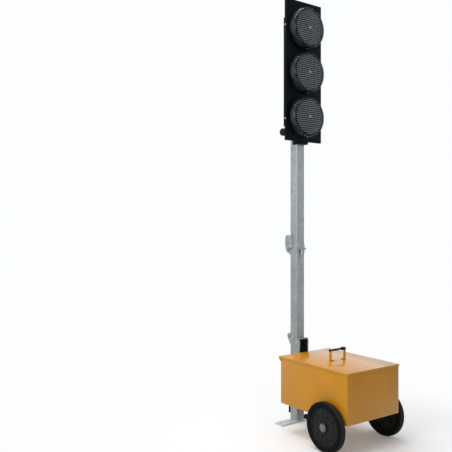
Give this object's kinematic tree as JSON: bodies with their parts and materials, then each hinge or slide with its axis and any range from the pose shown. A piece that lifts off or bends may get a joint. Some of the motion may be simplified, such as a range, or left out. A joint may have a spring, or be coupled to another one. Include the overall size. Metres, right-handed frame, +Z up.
{
  "type": "portable traffic light",
  "caption": "Wheeled battery box with a folding galvanised mast that carries a tall black signal head with large round clear lenses.",
  "frame": {"origin": "on the ground, in the middle of the footprint", "axes": "+Z up along the mast, -Y the way the lenses look, X along the wheel axle"},
  "size_m": [0.502, 0.668, 2.496],
  "materials": {
    "yellow_paint": "glossy yellow-orange powder coat",
    "galvanised_steel": "hot-dip galvanised, mottled grey zinc",
    "plated_steel": "bright zinc plating",
    "black_paint": "satin black powder coat",
    "black_plastic": "moulded black",
    "grey_plastic": "moulded grey",
    "clear_plastic": "clear prismatic polycarbonate",
    "tyre_rubber": "solid black rubber",
    "black_rubber": "moulded black rubber"
  },
  "bodies": {
    "chassis": {"battery_box": "yellow_paint", "lid_seal": "black_rubber", "battery_1": "black_plastic", "battery_2": "black_plastic", "controller": "grey_plastic", "cable_gland": "black_plastic", "rear_bracket_lower": "galvanised_steel", "rear_bracket_upper": "galvanised_steel", "post": "galvanised_steel", "post_bumper": "black_rubber", "foot_plate": "galvanised_steel", "axle": "plated_steel", "axle_hanger_left": "black_paint", "axle_hanger_right": "black_paint", "draw_bar": "black_paint", "lower_hinge_bracket": "galvanised_steel", "hinge_buffer": "black_rubber", "lower_hinge_pin": "plated_steel", "catch_base": "galvanised_steel", "lid_hinge_leaf_box": "galvanised_steel", "lid_hinge_pin": "plated_steel"},
    "lid": {"lid": "yellow_paint", "lid_hinge_leaf_lid": "galvanised_steel", "handle_upright_left": "yellow_paint", "handle_upright_right": "yellow_paint", "handle_grip": "black_plastic"},
    "lower_mast": {"lower_mast": "galvanised_steel", "lower_hinge_lug": "black_paint", "lower_hinge_cap": "galvanised_steel", "rest_block": "galvanised_steel", "lower_lip": "galvanised_steel", "plunger_barrel": "plated_steel", "middle_hinge_lug": "galvanised_steel", "middle_hinge_pin": "plated_steel", "lower_mast_plug": "black_plastic"},
    "plunger": {"plunger_pin": "plated_steel"},
    "upper_mast": {"upper_mast": "galvanised_steel", "middle_cheek_left": "galvanised_steel", "middle_cheek_right": "galvanised_steel", "upper_lip": "galvanised_steel", "upper_mast_plug": "black_plastic"},
    "head": {"backing_plate": "black_paint", "housing": "black_paint", "sliding_clamp": "black_paint", "lens_base_1": "black_plastic", "lens_base_2": "black_plastic", "lens_base_3": "black_plastic", "lens_1": "clear_plastic", "lens_2": "clear_plastic", "lens_3": "clear_plastic"},
    "clamp_knob": {"clamp_knob": "black_plastic"},
    "safety_catch": {"safety_catch": "galvanised_steel"},
    "wheel_left": {"tyre_left": "tyre_rubber", "wheel_disc_left": "black_plastic", "hub_cap_left": "grey_plastic"},
    "wheel_right": {"tyre_right": "tyre_rubber", "wheel_disc_right": "black_plastic", "hub_cap_right": "grey_plastic"}
  },
  "joints": [
    {"name": "lid_hinge", "type": "hinge", "parent": "chassis", "child": "lid", "pos_m": [0.2045, -0.0665, 0.406], "axis": [0, -1, 0], "range_deg": [-100, 0]},
    {"name": "lower_mast_fold", "type": "hinge", "parent": "chassis", "child": "lower_mast", "pos_m": [0, 0.221, 0.485], "axis": [1, 0, 0], "range_deg": [0, 90]},
    {"name": "upper_mast_fold", "type": "hinge", "parent": "lower_mast", "child": "upper_mast", "pos_m": [0, 0.316, 1.035], "axis": [-1, 0, 0], "range_deg": [0, 180]},
    {"name": "plunger_pull", "type": "slide", "parent": "lower_mast", "child": "plunger", "axis": [0, 0, -1], "range_m": [0, 0.014], "stiffness_N_per_m": 400, "springref_m": -0.005},
    {"name": "head_slide", "type": "slide", "parent": "upper_mast", "child": "head", "axis": [0, 0, -1], "range_m": [0, 0.59]},
    {"name": "clamp_knob_turn", "type": "hinge", "parent": "head", "child": "clamp_knob", "pos_m": [-0.09, 0.278, 1.727], "axis": [1, 0, 0], "range_deg": [0, 360]},
    {"name": "safety_catch_swing", "type": "hinge", "parent": "chassis", "child": "safety_catch", "pos_m": [0, 0.306, 0.462], "axis": [-1, 0, 0], "range_deg": [0, 90]},
    {"name": "wheel_left_spin", "type": "hinge", "parent": "chassis", "child": "wheel_left", "pos_m": [-0.227, -0.203, 0.13], "axis": [1, 0, 0], "continuous": true},
    {"name": "wheel_right_spin", "type": "hinge", "parent": "chassis", "child": "wheel_right", "pos_m": [0.227, -0.203, 0.13], "axis": [1, 0, 0], "continuous": true}
  ]
}
